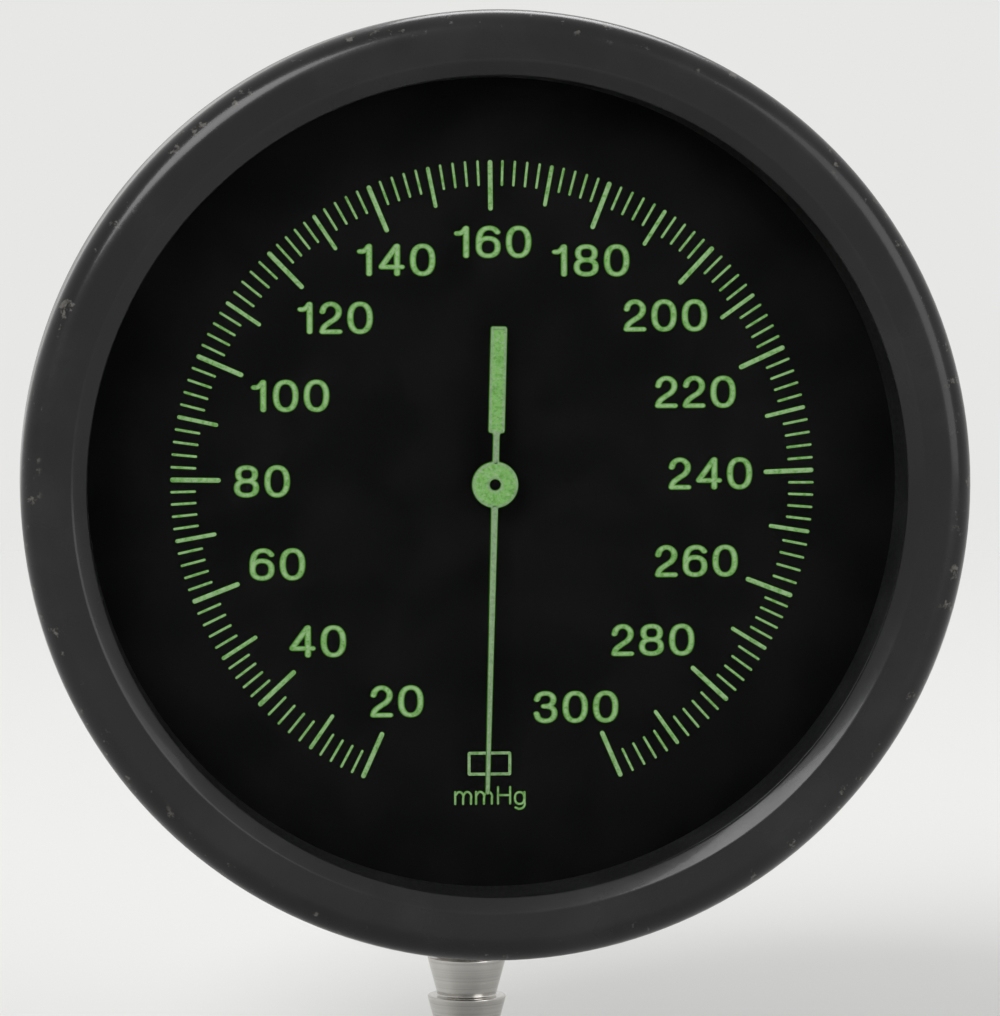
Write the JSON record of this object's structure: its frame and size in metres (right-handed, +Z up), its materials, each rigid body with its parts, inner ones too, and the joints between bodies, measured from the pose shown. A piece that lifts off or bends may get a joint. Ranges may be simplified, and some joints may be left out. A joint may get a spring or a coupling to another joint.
{
  "type": "aneroid blood pressure gauge",
  "caption": "Round pocket aneroid gauge of a sphygmomanometer, with black luminous dial, geared pointer movement, cuff hook and hose barb.",
  "frame": {"origin": "highest point inside the bend of the cuff hook, midway across it, where the hook bears on the edge of a cuff pocket or strap", "axes": "+Z up towards the top of the dial, -Y out of the dial towards the reader, +X to the reader's right"},
  "size_m": [0.055, 0.0351, 0.0652],
  "materials": {
    "black_enamel": "satin black enamel",
    "dial_black": "matte black dial paint",
    "luminous_paint": "matte green luminous paint",
    "clear_crystal": "clear polished",
    "plated_metal": "bright nickel plate",
    "steel": "brushed",
    "brass": "turned and grained brass",
    "bronze_sheet": "bright phosphor bronze sheet",
    "rubber": "matte black rubber",
    "black_plastic": "matte black"
  },
  "bodies": {
    "case": {"case_body": "black_enamel", "bezel": "black_enamel", "crystal": "clear_crystal", "crystal_gasket": "rubber", "dial_plate": "dial_black", "dial_spacer": "black_plastic", "pinion_lower_bush": "brass", "pinion_upper_bush": "brass", "hairspring": "bronze_sheet", "hairspring_stud": "brass", "pivot_screw_left": "steel", "pivot_screw_right": "steel", "lower_plate": "brass", "upper_plate": "brass", "pillar_1": "brass", "pillar_2": "brass", "pillar_3": "brass", "bridge_screw_1": "steel", "bridge_screw_2": "steel", "bridge_screw_3": "steel", "movement_post_1": "brass", "movement_post_2": "brass", "movement_post_3": "brass", "plate_screw_1": "steel", "plate_screw_2": "steel", "plate_screw_3": "steel", "case_screw_1": "plated_metal", "case_screw_2": "plated_metal", "case_screw_3": "plated_metal", "capsule_stud": "brass", "capsule_lower_diaphragm": "bronze_sheet", "capsule_upper_diaphragm": "bronze_sheet", "inlet_block": "brass", "hose_barb": "plated_metal", "barb_nut": "plated_metal", "barb_washer": "rubber", "cuff_hook": "steel", "hook_screw_left": "plated_metal", "hook_screw_right": "plated_metal"},
    "pointer_train": {"pointer": "luminous_paint", "pointer_bush": "brass", "pinion_arbor": "steel", "hairspring_collet": "brass"},
    "sector_train": {"sector_gear": "brass", "sector_arbor": "steel", "sector_tail_pin": "steel"},
    "rocker": {"rocking_shaft": "steel", "input_finger": "steel", "output_finger": "steel"},
    "capsule_top": {"capsule_button": "brass"}
  },
  "joints": [
    {"name": "pointer_turn", "type": "hinge", "parent": "case", "child": "pointer_train", "pos_m": [0, -0.02784, -0.0144], "axis": [0, 1, 0], "range_deg": [0, 334.86], "stiffness_Nm_per_rad": 0.0001, "springref_deg": -89.95, "deforming": ["hairspring"]},
    {"name": "sector_turn", "type": "hinge", "parent": "case", "child": "sector_train", "pos_m": [0.01246, -0.02314, -0.01003], "axis": [0, 1, 0], "range_deg": [-33.5, 0]},
    {"name": "rocker_turn", "type": "hinge", "parent": "case", "child": "rocker", "pos_m": [0, -0.01804, -0.0109], "axis": [-1, 0, 0], "range_deg": [0, 24.41]},
    {"name": "capsule_lift", "type": "slide", "parent": "case", "child": "capsule_top", "axis": [0, -1, 0], "range_m": [0, 0.00148], "deforming": ["capsule_upper_diaphragm"]}
  ],
  "couplings": [
    {"joint": "sector_turn", "follows": "pointer_turn", "ratio": -0.1},
    {"joint": "rocker_turn", "follows": "pointer_turn", "ratio": 0.072866},
    {"joint": "capsule_lift", "follows": "pointer_turn", "m_per_rad": 0.00025311}
  ]
}
